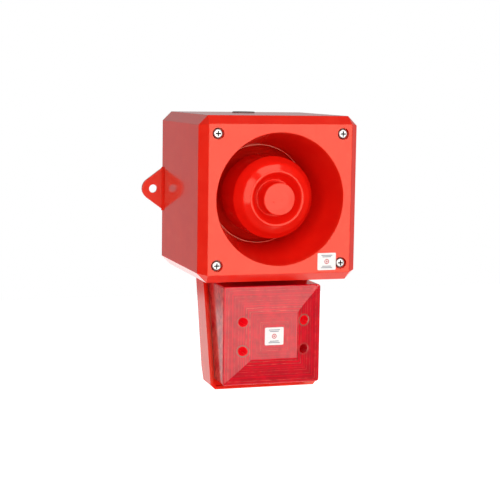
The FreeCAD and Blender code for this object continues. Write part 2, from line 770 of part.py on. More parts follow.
def strobe_base():
    knee = -180.6
    outer = side_plate([
        (back_depth(BASE_TOP), BASE_TOP), (back_depth(knee), knee), (84, -195), (88, BASE_BOTTOM),
        (rim_depth(BASE_BOTTOM), BASE_BOTTOM), (rim_depth(BASE_TOP), BASE_TOP),
    ], -BASE_HALF, BASE_HALF)
    outer = outer.common(front_plate(frame_outline(BASE_HALF, BASE_BOTTOM, BASE_TOP, 4.5), 0, 200))
    ceiling, floor = BASE_TOP - BASE_WALL, BASE_BOTTOM + BASE_WALL
    skin = BASE_WALL * math.hypot(1, BACK_SLOPE)
    cavity = side_plate([
        (back_depth(ceiling) + skin, ceiling), (back_depth(knee) + skin, knee),
        (86.6, -193.5), (89.3, floor), (200, floor), (200, ceiling),
    ], -BASE_HALF + BASE_WALL, BASE_HALF - BASE_WALL)
    cavity = cavity.common(front_plate(frame_outline(BASE_HALF - BASE_WALL, floor, ceiling, 3.3), 0, 220))
    tray = outer.cut(cavity)
    shelf = front_plate(frame_outline(BASE_HALF - 1, BASE_BOTTOM + 1, BASE_TOP - 1, 4.5), 0, 200)
    shelf = shelf.cut(front_plate(rounded_rectangle(46.5, -185.5, -95.5, 3), -1, 201))
    shelf = shelf.common(slanted_slab(SEAT_OFFSET - 2.5, SEAT_OFFSET))
    high, low = -60.0, -230.0
    inside = side_plate([
        (back_depth(high) + 1, high), (back_depth(low) + 1, low), (200, low), (200, high),
    ], -BASE_HALF, BASE_HALF)
    posts = []
    for x, z in strobe_post_places():
        posts.append(rod(x, z, 5.5, BACK_TOP_DEPTH, POST_TOP_DEPTH).common(inside))
    for x, z in strobe_pcb_places():
        posts.append(rod(x, z, 3.5, BACK_TOP_DEPTH, STROBE_PCB_DEPTH).common(inside))
    body = fuse([tray, shelf] + posts)
    for x, z in strobe_post_places():
        body = body.cut(rod(x, z, 2.3, POST_TOP_DEPTH - 14, POST_TOP_DEPTH + 1))
    for x, z in strobe_pcb_places():
        body = body.cut(rod(x, z, 1.25, STROBE_PCB_DEPTH - 5.2, STROBE_PCB_DEPTH + 1))
    return body.cut(Part.makeCylinder(NIPPLE_RADIUS, 10, at(0, NIPPLE_DEPTH, BASE_TOP - 8), UP))


def strobe_post_places():
    return [(x, LENS_CENTRE + z) for x, z in four_corners(POCKET_X, POCKET_Z)]


def strobe_pcb_places():
    return [(x, z) for x in (-40.5, 40.5) for z in (-178.5, -102.5)]


def strobe_pcb():
    face = STROBE_PCB_DEPTH + PCB_THICKNESS
    board = front_plate(rounded_rectangle(45, -183, -98, 3), STROBE_PCB_DEPTH, face)
    for x, z in strobe_post_places():
        board = board.cut(rod(x, z, 6.2, STROBE_PCB_DEPTH - 1, face + 1))
    for x, z in strobe_pcb_places():
        board = board.cut(rod(x, z, 1.4, STROBE_PCB_DEPTH - 1, face + 1))
    return board


def strobe_pcb_screws():
    seat = STROBE_PCB_DEPTH + PCB_THICKNESS
    return Part.makeCompound([
        screw(x, z, seat, 2.4, 1.8, 1.25, 6.5) for x, z in strobe_pcb_places()
    ])


TUBE_DEPTH = 108.0


def flash_tube():
    """A glass tube with a metal cap and pin at each end."""
    start = at(-21, TUBE_DEPTH, LENS_CENTRE)
    return fuse([
        Part.makeCylinder(3.0, 42, start, RIGHT),
        Part.makeCylinder(2.2, 54, at(-27, TUBE_DEPTH, LENS_CENTRE), RIGHT),
        Part.makeCylinder(0.8, 61, at(-30.5, TUBE_DEPTH, LENS_CENTRE), RIGHT),
    ])


def flash_reflector():
    """A polished trough behind the tube, closed by end walls, on a foot on the board."""
    lip, back, half, skin = 118.0, 97.0, 20.0, 0.9

    def trough(offset):
        wide = half + offset
        points = [at(-24, lip, LENS_CENTRE - wide), at(-24, back - offset, LENS_CENTRE),
                  at(-24, lip, LENS_CENTRE + wide)]
        edges = [Part.Arc(*points).toShape(), Part.makeLine(points[2], points[0])]
        return Part.Face(Part.Wire(edges)).extrude(RIGHT * 48)

    shell = trough(skin).cut(trough(0).common(block((-23, 23), (80, 130), (-180, -100))))
    for side in SIGNS:
        hole = Part.makeCylinder(3.4, 4, at(side * 23.5 - 2, TUBE_DEPTH, LENS_CENTRE), RIGHT)
        shell = shell.cut(hole)
    foot = ring(0, LENS_CENTRE, 6, 4.5, STROBE_PCB_DEPTH + PCB_THICKNESS, back - skin + 0.3)
    return shell.fuse(foot)


def tube_clips():
    """Spring forks on the board that grip the tube's end pins."""
    clips = []
    for side in SIGNS:
        x_low, x_high = sorted((side * 28.2, side * 30.0))
        fork = block((x_low, x_high), (STROBE_PCB_DEPTH + PCB_THICKNESS, TUBE_DEPTH + 3),
                     (LENS_CENTRE - 3.5, LENS_CENTRE + 3.5))
        gap = block((x_low - 1, x_high + 1), (TUBE_DEPTH, TUBE_DEPTH + 5),
                    (LENS_CENTRE - 0.8, LENS_CENTRE + 0.8))
        seat = Part.makeCylinder(0.8, 4, at(x_low - 1, TUBE_DEPTH, LENS_CENTRE), RIGHT)
        clips.append(fork.cut(gap).cut(seat))
    return Part.makeCompound(clips)


def storage_capacitor():
    return Part.makeCylinder(8.4, 44, at(-22, STROBE_PCB_DEPTH + PCB_THICKNESS + 8.4, -172.5), RIGHT)


def trigger_coil():
    depth = STROBE_PCB_DEPTH + PCB_THICKNESS + 5
    coil = Part.makeCylinder(4.2, 16, at(8, depth, -107), RIGHT)
    cheeks = [Part.makeCylinder(5, 1.5, at(x, depth, -107), RIGHT) for x in (6.5, 24)]
    return fuse([coil] + cheeks)


def strobe_leads():
    """Two insulated wires from the main board, down through the nipple, to the strobe's board."""
    corners = [
        (PCB_FACE + 3.4, -52), (PCB_FACE + 3.4, -68, 9), (NIPPLE_DEPTH, -68, 9),
        (NIPPLE_DEPTH, -103, 9), (STROBE_PCB_DEPTH, -103),
    ]
    return Part.makeCompound([swept_lead(corners, x, 1.0) for x in (-1.6, 1.6)])


def lens_gasket():
    frame = front_plate(rounded_rectangle(LENS_HALF, LENS_BOTTOM, LENS_TOP, 3), 0, 200)
    frame = frame.cut(front_plate(rounded_rectangle(47.5, -186, -94.5, 2), -1, 201))
    return frame.common(slanted_slab(SEAT_OFFSET, SEAT_OFFSET + GASKET_THICKNESS))


# --- Lens ---

def lens_block(half, bottom, top, radius, edge, face_half, face):
    """A rounded box whose front is a low pyramid cut off flat."""
    outline = rounded_rectangle(half, bottom, top, radius)
    body = front_plate(outline, 40, edge)
    low = [at(x, edge, z) for x, z in ((-half, bottom), (half, bottom), (half, top), (-half, top))]
    high = [at(sx * face_half, face, LENS_CENTRE + sz * face_half)
            for sx, sz in ((-1, -1), (1, -1), (1, 1), (-1, 1))]
    cap = polyhedron([low, high])
    return fuse([body, cap]).common(front_plate(outline, 30, face + 5))


def strobe_lens():
    outer = lens_block(LENS_HALF, LENS_BOTTOM, LENS_TOP, 3.0, LENS_EDGE_DEPTH,
                       LENS_FACE_HALF, LENS_FACE_DEPTH)
    inner = lens_block(LENS_HALF - LENS_WALL, LENS_BOTTOM + LENS_WALL, LENS_TOP - LENS_WALL, 1.5,
                       LENS_EDGE_DEPTH - LENS_WALL, LENS_FACE_HALF - 0.6, LENS_FACE_DEPTH - LENS_WALL)
    shell = outer.cut(inner).common(slanted_slab(SEAT_OFFSET + GASKET_THICKNESS, 120))
    tubes = [rod(x, z, POCKET_RADIUS + 1.2, POST_TOP_DEPTH + 0.3, LENS_EDGE_DEPTH + 2)
             for x, z in strobe_post_places()]
    lens = fuse([shell] + [tube.common(outer) for tube in tubes])
    for x, z in strobe_post_places():
        lens = lens.cut(rod(x, z, POCKET_RADIUS, POCKET_FLOOR_DEPTH, LENS_FACE_DEPTH + 5))
        lens = lens.cut(rod(x, z, 2.2, POST_TOP_DEPTH - 1, POCKET_FLOOR_DEPTH + 1))
    return lens


def lens_screws():
    return Part.makeCompound([
        screw(x, z, POCKET_FLOOR_DEPTH, 3.9, 2.6, 2.0, 14.0) for x, z in strobe_post_places()
    ])


def lens_screw_sleeves():
    """Grey sealing sleeves about two of the screw pockets, on one diagonal."""
    low, high = POCKET_FLOOR_DEPTH + 12, LENS_EDGE_DEPTH - 0.6
    return Part.makeCompound([
        ring(side * POCKET_X, LENS_CENTRE + side * POCKET_Z, 7.4, POCKET_RADIUS + 1.2, low, high)
        for side in SIGNS
    ])


def label(x_low, x_high, z_low, z_high, depth):
    corners = [(x_low, z_low, 1.2), (x_high, z_low, 1.2), (x_high, z_high, 1.2), (x_low, z_high, 1.2)]
    return front_plate(corners, depth, depth + 0.25)


def horn_label():
    return label(40.3, 59.9, -72.0, -54.6, FACE_DEPTH)


def lens_label():
    return label(-10.0, 10.0, -149.4, -131.2, LENS_FACE_DEPTH)


def all_nodes():
    makers = [
        rear_housing, housing_gasket, top_entry_plug, top_plug_nut, coupling_nipple, coupling_nuts,
        main_pcb, main_pcb_screws, terminal_block, terminal_screws, tone_switch_case,
        volume_pot_case, volume_rotor, smoothing_capacitors, transformer, control_chips,
        lead_sockets, front_cover, cover_screws, cover_screw_seals, horn_flare, horn_bowl,
        throat_tube, horn_screws, horn_reflector, reflector_spider, driver_case, pole_plate,
        driver_magnet, top_plate, diaphragm_ring, driver_screws, diaphragm, voice_coil,
        driver_plug, driver_lead, strobe_base, strobe_pcb, strobe_pcb_screws, flash_tube,
        flash_reflector, tube_clips, storage_capacitor, trigger_coil, strobe_leads, lens_gasket,
        strobe_lens, lens_screws, lens_screw_sleeves, horn_label, lens_label,
    ]
    nodes = {maker.__name__: maker() for maker in makers}
    for number in range(1, SWITCH_COUNT + 1):
        nodes[f"tone_slider_{number}"] = tone_slider(number)
    return nodes


os.makedirs("parts", exist_ok=True)
for name, shape in all_nodes().items():
    assert shape.isValid() and shape.Volume > 0 and shape.Solids, name
    print(name, len(shape.Solids), round(shape.Volume / 1000, 2))
    shape.exportStep(f"parts/{name}.step")
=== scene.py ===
import json
import math
import random

import bmesh
import bpy
from mathutils import Matrix, Vector

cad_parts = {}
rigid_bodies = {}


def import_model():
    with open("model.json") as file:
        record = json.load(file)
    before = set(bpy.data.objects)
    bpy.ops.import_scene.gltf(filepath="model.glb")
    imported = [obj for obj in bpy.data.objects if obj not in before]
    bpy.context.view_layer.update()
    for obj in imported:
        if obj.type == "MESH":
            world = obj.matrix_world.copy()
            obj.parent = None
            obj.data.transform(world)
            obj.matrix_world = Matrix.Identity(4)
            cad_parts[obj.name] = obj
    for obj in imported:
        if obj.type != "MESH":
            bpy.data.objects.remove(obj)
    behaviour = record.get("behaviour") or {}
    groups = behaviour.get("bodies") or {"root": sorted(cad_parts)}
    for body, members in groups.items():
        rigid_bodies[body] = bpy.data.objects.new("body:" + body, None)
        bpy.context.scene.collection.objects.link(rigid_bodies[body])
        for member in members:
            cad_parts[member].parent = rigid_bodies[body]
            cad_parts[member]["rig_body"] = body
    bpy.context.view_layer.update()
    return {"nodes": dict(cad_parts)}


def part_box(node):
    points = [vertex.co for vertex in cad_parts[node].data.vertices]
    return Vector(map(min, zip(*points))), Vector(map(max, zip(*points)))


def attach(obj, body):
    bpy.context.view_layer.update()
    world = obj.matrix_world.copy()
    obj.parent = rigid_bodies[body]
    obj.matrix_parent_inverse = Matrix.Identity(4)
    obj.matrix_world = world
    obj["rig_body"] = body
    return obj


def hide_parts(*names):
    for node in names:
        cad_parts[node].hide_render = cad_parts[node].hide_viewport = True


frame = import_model()

# A wall-mounted horn strobe: a horn in a square red housing, and a flashing lamp below it.
# Metres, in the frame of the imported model: X right, Y back into the wall, Z up.

MM = 0.001
SIGNS = (-1, 1)
CORNER_STEPS = 9
random.seed(7)

# Screws: how far the cover's stand from the horn's axis in X and in Z, and the arms of their recesses.
COVER_SCREW_AT = 65.2 * MM
RECESS_HALF_WIDTH = 0.68 * MM
RECESS_REACH = 2.75 * MM
LENS_SCREW_HEAD = 3.9 * MM

# The lens's screw pockets, with shares for each in the order of pocket_places.
POCKET_RADIUS = 4.8 * MM
# Painted glow on the pocket walls: its strength, and its share at each pocket.
POCKET_PAINTED_GLOW = 0.45
POCKET_PAINTED_GLOW_SHARES = (1.0, 0.9, 0.25, 0.9)
SLEEVE_RADIUS = 5.7 * MM
SLEEVE_SHARES = (0.70, 0.30, 0.22, 0.70)


# --- Places taken from the frame ---

LENS_LOW, LENS_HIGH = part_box("strobe_lens")
LENS_SCREWS_LOW, LENS_SCREWS_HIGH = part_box("lens_screws")
LENS_CENTRE_Z = sum(corner.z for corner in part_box("lens_label")) / 2
HORN_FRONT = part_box("horn_reflector")[0].y


def pocket_places():
    """Centres of the lens's four screw pockets, from the screws in them."""
    low, high = LENS_SCREWS_LOW, LENS_SCREWS_HIGH
    return [(x, z) for x in (low.x + LENS_SCREW_HEAD, high.x - LENS_SCREW_HEAD)
            for z in (low.z + LENS_SCREW_HEAD, high.z - LENS_SCREW_HEAD)]


# --- Mesh helpers ---

def new_piece(name, bm, material, body, smooth_angle=30, replaced=None):
    """Turns a bmesh into a piece that rides on a body and may stand for a CAD node."""
    bmesh.ops.recalc_face_normals(bm, faces=bm.faces)
    mesh = bpy.data.meshes.new(name)
    bm.to_mesh(mesh)
    bm.free()
    for polygon in mesh.polygons:
        polygon.use_smooth = True
    mesh.set_sharp_from_angle(angle=math.radians(smooth_angle))
    mesh.materials.append(material)
    piece = bpy.data.objects.new(name, mesh)
    bpy.context.scene.collection.objects.link(piece)
    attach(piece, body)
    if replaced:
        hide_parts(replaced)
    return piece


def bevel_edges(piece, width, segments):
    bevel = piece.modifiers.new("soft_edges", "BEVEL")
    bevel.width = width
    bevel.segments = segments
    bevel.limit_method = "ANGLE"
    bevel.angle_limit = math.radians(30)
    bevel.use_clamp_overlap = True
    weighted = piece.modifiers.new("face_normals", "WEIGHTED_NORMAL")
    weighted.keep_sharp = False


def softened(node, name, material, width, segments):
    """A copy of a CAD node whose crisp edges are moulded edges."""
    source = frame["nodes"][node]
    bm = bmesh.new()
    bm.from_mesh(source.data)
    bmesh.ops.remove_doubles(bm, verts=bm.verts, dist=1e-6)
    bmesh.ops.dissolve_limit(bm, angle_limit=math.radians(0.5), verts=bm.verts, edges=bm.edges)
    piece = new_piece(name, bm, material, source["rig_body"], 40, node)
    bevel_edges(piece, width, segments)


def bridge(bm, low, high):
    """Joins two rings of corners with a band of faces."""
    count = len(low)
    for i in range(count):
        j = (i + 1) % count
        bm.faces.new((low[i], low[j], high[j], high[i]))


def loft(bm, rings, close_first=True, close_last=True):
    """A skin over rings of points, closed at its ends unless told otherwise."""
    made = [[bm.verts.new(point) for point in points] for points in rings]
    for low, high in zip(made, made[1:]):
        bridge(bm, low, high)
    if close_first:
        bm.faces.new(list(reversed(made[0])))
    if close_last:
        bm.faces.new(made[-1])
    return made


def rounded_square(left, right, low, high, radius):
    """Outline points (x, z), anticlockwise, with round corners."""
    points = []
    centres = [(right - radius, low + radius, -90), (right - radius, high - radius, 0),
               (left + radius, high - radius, 90), (left + radius, low + radius, 180)]
    for x, z, start in centres:
        for i in range(CORNER_STEPS + 1):
            angle = math.radians(start + 90 * i / CORNER_STEPS)
            points.append((x + radius * math.cos(angle), z + radius * math.sin(angle)))
    return points


def add_box(bm, low, high):
    """A closed box between two corners."""
    (x0, y0, z0), (x1, y1, z1) = low, high
    loft(bm, [
        [(x0, y0, z0), (x1, y0, z0), (x1, y1, z0), (x0, y1, z0)],
        [(x0, y0, z1), (x1, y0, z1), (x1, y1, z1), (x0, y1, z1)],
    ])


def circle(centre_x, centre_z, radius, y, count):
    """Points of a circle that faces forward."""
    angles = [2 * math.pi * i / count for i in range(count)]
    return [(centre_x + radius * math.cos(a), y, centre_z + radius * math.sin(a)) for a in angles]


def add_turned(bm, corners, x, z, count):
    """A closed solid turned about the line along Y at x and z, from corners (radius, y)."""
    loft(bm, [circle(x, z, radius, y, count) for radius, y in corners])


# --- Material helpers ---

def feed(tree, socket, value):
    """Links an input to another socket, or sets it to a plain value."""
    if isinstance(value, bpy.types.NodeSocket):
        tree.links.new(value, socket)
    else:
        socket.default_value = value


def add_node(tree, kind, inputs=None, **settings):
    node = tree.nodes.new(kind)
    for key, value in settings.items():
        setattr(node, key, value)
    for key, value in (inputs or {}).items():
        feed(tree, node.inputs[key], value)
    return node


class Finish:
    """A procedural material, patterned in the object's own metres."""

    def __init__(self, name, **constants):
        self.material = bpy.data.materials.new(name)
        self.material.use_nodes = True
        self.tree = self.material.node_tree
        self.shader = self.tree.nodes["Principled BSDF"]
        self.place = self.add("ShaderNodeTexCoord").outputs["Object"]
        for socket, value in constants.items():
            self.shader.inputs[socket.replace("_", " ")].default_value = value

    def add(self, kind, inputs=None, **settings):
        return add_node(self.tree, kind, inputs, **settings)

    def feed(self, socket, value):
        feed(self.tree, socket, value)

    def stretched(self, x, y, z):
        node = self.add("ShaderNodeMapping", {"Vector": self.place, "Scale": (x, y, z)})
        return node.outputs["Vector"]

    def noise(self, size, detail=3.0, rough=0.5, place=None):
        """Noise whose features are about size metres across."""
        node = self.add("ShaderNodeTexNoise", {
            "Vector": place or self.place, "Scale": 1 / size, "Detail": detail, "Roughness": rough,
        })
        return node.outputs["Fac"]

    def cells(self, size):
        """Distance from the nearest of scattered points about size metres apart."""
        node = self.add("ShaderNodeTexVoronoi", {"Vector": self.place, "Scale": 1 / size})
        return node.outputs["Distance"]

    def spread(self, value, low, high, from_low=0.3, from_high=0.7):
        """Maps the range from_low to from_high on to low to high."""
        node = self.add("ShaderNodeMapRange", {
            "Value": value, "From Min": from_low, "From Max": from_high,
            "To Min": low, "To Max": high,
        })
        return node.outputs["Result"]

    def math(self, operation, a, b=0.0):
        node = self.add("ShaderNodeMath", {0: a, 1: b}, operation=operation)
        return node.outputs["Value"]

    def blend(self, amount, a, b):
        node = self.add("ShaderNodeMix", data_type="RGBA")
        self.feed(node.inputs["Factor"], amount)
        self.feed(node.inputs["A"], a)
        self.feed(node.inputs["B"], b)
        return node.outputs["Result"]

    def axes(self):
        node = self.add("ShaderNodeSeparateXYZ", {"Vector": self.place})
        return node.outputs

    def bump(self, height, depth, strength=1.0, below=None):
        inputs = {"Height": height, "Strength": strength, "Distance": depth}
        if below is not None:
            inputs["Normal"] = below
        return self.add("ShaderNodeBump", inputs).outputs["Normal"]

    def edge_mask(self, radius):
        """Near 1 at edges and 0 on open surfaces."""
        soft = self.add("ShaderNodeBevel", {"Radius": radius}, samples=4).outputs["Normal"]
        flat = self.add("ShaderNodeNewGeometry").outputs["Normal"]
        match = self.add("ShaderNodeVectorMath", {0: soft, 1: flat}, operation="DOT_PRODUCT")
        return self.spread(match.outputs["Value"], 1.0, 0.0, 0.80, 0.995)

    def finish(self, tone, roughness, normal=None):
        self.feed(self.shader.inputs["Base Color"], tone)
        self.feed(self.shader.inputs["Roughness"], roughness)
        if normal is not None:
            self.feed(self.shader.inputs["Normal"], normal)
        return self.material


def colour(r, g, b):
    return (r, g, b, 1.0)


WARM_GLOSS = colour(1.0, 0.90, 0.64)


def moulded_plastic(name, main, shade, light, roughness):
    """Injection-moulded plastic: fine grain, a faint orange peel, flow marks and a painted highlight along
    the edges.
    """
    f = Finish(name, Specular_IOR_Level=0.5, IOR=1.5, Specular_Tint=WARM_GLOSS)
    cloud = f.noise(24 * MM, 4)
    flow = f.noise(14 * MM, 3, 0.55, f.stretched(1.0, 0.25, 1.0))
    tone = f.blend(f.spread(cloud, 0.0, 0.55), main, shade)
    tone = f.blend(f.spread(flow, 0.0, 0.25, 0.5, 0.75), tone, light)
    specks = f.spread(f.cells(3.4 * MM), 0.45, 0.0, 0.03, 0.075)
    tone = f.blend(specks, tone, shade)
    # Painted highlight: edges are lightened towards the light tone.
    edge_highlight = f.edge_mask(0.55 * MM)
    tone = f.blend(f.math("MULTIPLY", edge_highlight, 0.35), tone, light)
    matt = f.spread(f.noise(5 * MM, 5, 0.6), roughness * 0.8, roughness * 1.25)
    scuffs = f.spread(f.noise(1.1 * MM, 2, 0.5, f.stretched(1.0, 1.0, 9.0)), 0.0, 0.04, 0.60, 0.8)
    matt = f.math("ADD", matt, scuffs)
    orange_peel = f.bump(f.noise(2.6 * MM, 2), 0.02 * MM, 0.45)
    skin = f.bump(f.noise(0.35 * MM, 2), 0.006 * MM, 0.5, orange_peel)
    return f.finish(tone, matt, skin)


def recess_painted_shade(f):
    """Painted shade in the cross recesses of the four cover screws."""
    axes = f.axes()
    across, up = [f.math("ABSOLUTE", f.math("SUBTRACT", f.math("ABSOLUTE", axes[axis]), COVER_SCREW_AT))
                  for axis in ("X", "Z")]
    in_arm = f.math("LESS_THAN", f.math("MINIMUM", across, up), RECESS_HALF_WIDTH)
    in_reach = f.math("LESS_THAN", f.math("MAXIMUM", across, up), RECESS_REACH)
    return f.math("MULTIPLY", in_arm, in_reach)


def metal(name, main, shade, roughness, lines=(1.0, 1.0, 1.0), painted_shade=None):
    """Machined or plated metal, with turning or drawing lines along the small scales."""
    f = Finish(name, Metallic=1.0)
    cloud = f.spread(f.noise(2.4 * MM, 4, 0.6), 0.0, 1.0)
    brushed = f.noise(0.25 * MM, 3, 0.6, f.stretched(*lines))
    tone = f.blend(cloud, main, shade)
    tone = f.blend(f.spread(brushed, 0.0, 0.3), tone, shade)
    matt = f.spread(brushed, roughness * 0.75, roughness * 1.4)
    if painted_shade:
        # Painted shade: the masked recesses are darkened to near black and made rougher.
        painted_shade_mask = painted_shade(f)
        tone = f.blend(painted_shade_mask, tone, colour(0.035, 0.028, 0.026))
        matt = f.math("MAXIMUM", matt, f.math("MULTIPLY", painted_shade_mask, 0.6))
    return f.finish(tone, matt, f.bump(brushed, 0.008 * MM, 0.4))


def rubber(name, main, shade):
    """Matt rubber, with dust caught in patches."""
    f = Finish(name, Specular_IOR_Level=0.35)
    tone = f.blend(f.spread(f.noise(3 * MM, 4), 0.0, 1.0), main, shade)
    dust = f.spread(f.noise(0.8 * MM, 3, 0.65), 0.0, 0.25, 0.55, 0.8)
    tone = f.blend(dust, tone, colour(0.30, 0.29, 0.28))
    matt = f.spread(f.noise(1.5 * MM, 3), 0.51, 0.69)
    return f.finish(tone, matt, f.bump(f.noise(0.3 * MM, 2), 0.015 * MM, 0.6))


def plain_plastic(name, main, shade, roughness):
    """Small moulded parts: an even colour with mould texture."""
    f = Finish(name, Specular_IOR_Level=0.5)
    tone = f.blend(f.spread(f.noise(2.5 * MM, 4), 0.0, 1.0), main, shade)
    matt = f.spread(f.noise(1.2 * MM, 3), roughness * 0.8, roughness * 1.25)
    return f.finish(tone, matt, f.bump(f.noise(0.2 * MM, 2), 0.006 * MM, 0.6))


def square_distance(f, centre_x, centre_z):
    """Distance from a centre, measured so that its contours are squares."""
    axes = f.axes()
    across = f.math("ABSOLUTE", f.math("SUBTRACT", axes["X"], centre_x))
    up = f.math("ABSOLUTE", f.math("SUBTRACT", axes["Z"], centre_z))
    return f.math("MAXIMUM", across, up)


def distance_from(f, x, z):
    """Distance in X and Z from a point."""
    axes = f.axes()
    across = f.math("SUBTRACT", axes["X"], x)
    up = f.math("SUBTRACT", axes["Z"], z)
    square = f.math("ADD", f.math("MULTIPLY", across, across), f.math("MULTIPLY", up, up))
    return f.math("SQRT", square)


def pocket_painted_glow(f):
    """A painted glow on the walls of the screw pockets, standing in for light that the clear plastic
    carries down to them.
    """
    total = None
    for (x, z), share in zip(pocket_places(), POCKET_PAINTED_GLOW_SHARES):
        inside = f.spread(distance_from(f, x, z), share, 0.0, POCKET_RADIUS, POCKET_RADIUS + 0.1 * MM)
        total = inside if total is None else f.math("MAXIMUM", total, inside)
    return f.math("MULTIPLY", total, POCKET_PAINTED_GLOW)


def pocket_rings(f):
    """Dull rings where the screw sleeves show through the lens, strongest at two corners."""
    total = None
    for (x, z), strength in zip(pocket_places(), SLEEVE_SHARES):
        off = f.math("ABSOLUTE", f.math("SUBTRACT", distance_from(f, x, z), SLEEVE_RADIUS))
        shown = f.spread(off, strength, 0.0, 0.3 * MM, 1.1 * MM)
        total = shown if total is None else f.math("MAXIMUM", total, shown)
    return total


def lens_plastic():
    """Clear red plastic whose moulded prisms show as fine squares inside each other, with painted shade and
    painted highlights along them, a painted highlight on the edges and a painted glow in the screw pockets.
    """
    f = Finish("red_lens", Specular_IOR_Level=0.5, IOR=1.49, Transmission_Weight=0.12,
               Specular_Tint=colour(1.0, 0.88, 0.84), Subsurface_Weight=0.35,
               Subsurface_Scale=6 * MM, Subsurface_Radius=(1.0, 0.04, 0.04),
               # The colour of the painted glow in the screw pockets.
               Emission_Color=colour(0.80, 0.0, 0.008))
    squares = square_distance(f, 0.0, LENS_CENTRE_Z)
    wobble = f.spread(f.noise(16 * MM, 2), -0.25 * MM, 0.25 * MM)
    bent = f.math("ADD", squares, wobble)
    coarse = f.add("ShaderNodeTexNoise", {"W": f.math("MULTIPLY", bent, 1 / (1.9 * MM)),
                                          "Scale": 1.0, "Detail": 3.0, "Roughness": 0.6},
                   noise_dimensions="1D").outputs["Fac"]
    along = f.noise(9 * MM, 3, 0.6)
    streaks = f.math("MULTIPLY", f.spread(coarse, 0.0, 1.0), f.spread(along, 0.35, 1.0, 0.35, 0.65))
    tone = f.blend(f.spread(f.noise(22 * MM, 3), 0.0, 1.0), colour(0.92, 0.005, 0.022),
                   colour(0.80, 0.003, 0.020))
    # Painted shade: dark streaks along the prisms.
    tone = f.blend(streaks, tone, colour(0.26, 0.003, 0.010))
    # Painted highlight: pale pink patches on the prisms' ridges.
    patches = f.spread(f.noise(6 * MM, 2), 0.2, 1.0)
    prism_highlight = f.math("MULTIPLY", f.spread(coarse, 0.0, 0.9, 0.56, 0.66), patches)
    tone = f.blend(prism_highlight, tone, colour(1.0, 0.10, 0.08))
    tone = f.blend(pocket_rings(f), tone, colour(0.24, 0.15, 0.10))
    # Painted highlight: a pale pink line along the lens's edges.
    tone = f.blend(f.math("MULTIPLY", f.edge_mask(0.5 * MM), 0.5), tone, colour(0.95, 0.16, 0.14))
    # Painted glow: the pocket walls give out red light.
    f.feed(f.shader.inputs["Emission Strength"], pocket_painted_glow(f))
    matt = f.spread(streaks, 0.09, 0.19, 0.0, 1.0)
    ridges = f.bump(coarse, 0.10 * MM, 0.42)
    skin = f.bump(f.noise(1.3 * MM, 3), 0.012 * MM, 0.35, ridges)
    return f.finish(tone, matt, skin)


def circuit_board():
    """Green lacquer over copper tracks that run in X and in Z on a square grid."""
    pitch, half_track = 2.54 * MM, 0.22 * MM
    f = Finish("circuit_board", Coat_Weight=0.4, Coat_Roughness=0.12)
    axes = f.axes()
    tracks = None
    for axis, stretch in (("X", (5.0, 0.0, 1.0)), ("Z", (1.0, 0.0, 5.0))):
        run = f.math("PINGPONG", f.math("ADD", axes[axis], 1.0), pitch / 2)
        line = f.math("LESS_THAN", run, half_track)
        patch = f.add("ShaderNodeTexNoise", {"Vector": f.stretched(*stretch), "Scale": 60.0,
                                             "Detail": 0.0}).outputs["Fac"]
        shown = f.math("MULTIPLY", line, f.math("GREATER_THAN", patch, 0.52))
        tracks = shown if tracks is None else f.math("MAXIMUM", tracks, shown)
    cloud = f.spread(f.noise(6 * MM, 3), 0.0, 1.0)
    lacquer = f.blend(cloud, colour(0.010, 0.115, 0.040), colour(0.006, 0.080, 0.028))
    tone = f.blend(tracks, lacquer, colour(0.035, 0.21, 0.075))
    normal = f.bump(tracks, 0.05 * MM, 0.8)
    return f.finish(tone, f.spread(cloud, 0.28, 0.4, 0.0, 1.0), normal)


def capacitor_sleeve():
    """Dark shrink sleeve with pale stripes."""
    f = Finish("capacitor_sleeve", Specular_IOR_Level=0.5)
    cloud = f.spread(f.noise(3 * MM, 4), 0.0, 1.0)
    axes = f.axes()
    stripe = f.math("LESS_THAN", f.math("PINGPONG", f.math("ADD", axes["X"], 1.0), 12 * MM), 1.6 * MM)
    tone = f.blend(cloud, colour(0.012, 0.014, 0.022), colour(0.020, 0.022, 0.034))
    tone = f.blend(stripe, tone, colour(0.45, 0.47, 0.50))
    return f.finish(tone, f.spread(cloud, 0.24, 0.36, 0.0, 1.0), f.bump(f.noise(0.5 * MM), 0.01 * MM))


def wound_copper(name, pitch):
    """Enamelled copper wire, one ridge to each turn, with painted shade in the groove between turns."""
    f = Finish(name, Metallic=0.85, Coat_Weight=0.6, Coat_Roughness=0.15)
    axes = f.axes()
    turn = f.math("PINGPONG", f.math("ADD", axes["X"], 1.0), pitch / 2)
    height = f.math("DIVIDE", turn, pitch / 2)
    # Painted shade: darker down into the groove between turns, lighter on each ridge.
    tone = f.blend(height, colour(0.30, 0.09, 0.03), colour(0.75, 0.30, 0.12))
    return f.finish(tone, f.spread(f.noise(1 * MM), 0.22, 0.34), f.bump(height, pitch / 3, 0.9))


def tube_glass():
    f = Finish("tube_glass", Transmission_Weight=0.9, IOR=1.47)
    cloud = f.spread(f.noise(4 * MM, 3), 0.0, 1.0)
    tone = f.blend(cloud, colour(0.95, 0.97, 1.0), colour(0.85, 0.90, 0.95))
    return f.finish(tone, f.spread(cloud, 0.02, 0.09, 0.0, 1.0), f.bump(f.noise(2 * MM), 0.01 * MM, 0.3))


def film(name):
    """Brown phenolic film with fine woven texture."""
    f = Finish(name, Specular_IOR_Level=0.5)
    weave = f.noise(0.5 * MM, 2, 0.5)
    cloud = f.spread(f.noise(4 * MM, 4), 0.0, 1.0)
    tone = f.blend(cloud, colour(0.20, 0.09, 0.035), colour(0.13, 0.05, 0.02))
    return f.finish(tone, f.spread(weave, 0.3, 0.48), f.bump(weave, 0.03 * MM, 0.6))


def printed_film(name, main, shade):
    """Vinyl label stock or dried ink, with a slight satin mottle."""
    f = Finish(name, Specular_IOR_Level=0.5)
    tone = f.blend(f.spread(f.noise(1.6 * MM, 4), 0.0, 1.0), main, shade)
    matt = f.spread(f.noise(0.9 * MM, 3), 0.3, 0.45)
    return f.finish(tone, matt, f.bump(f.noise(0.4 * MM), 0.006 * MM, 0.5))
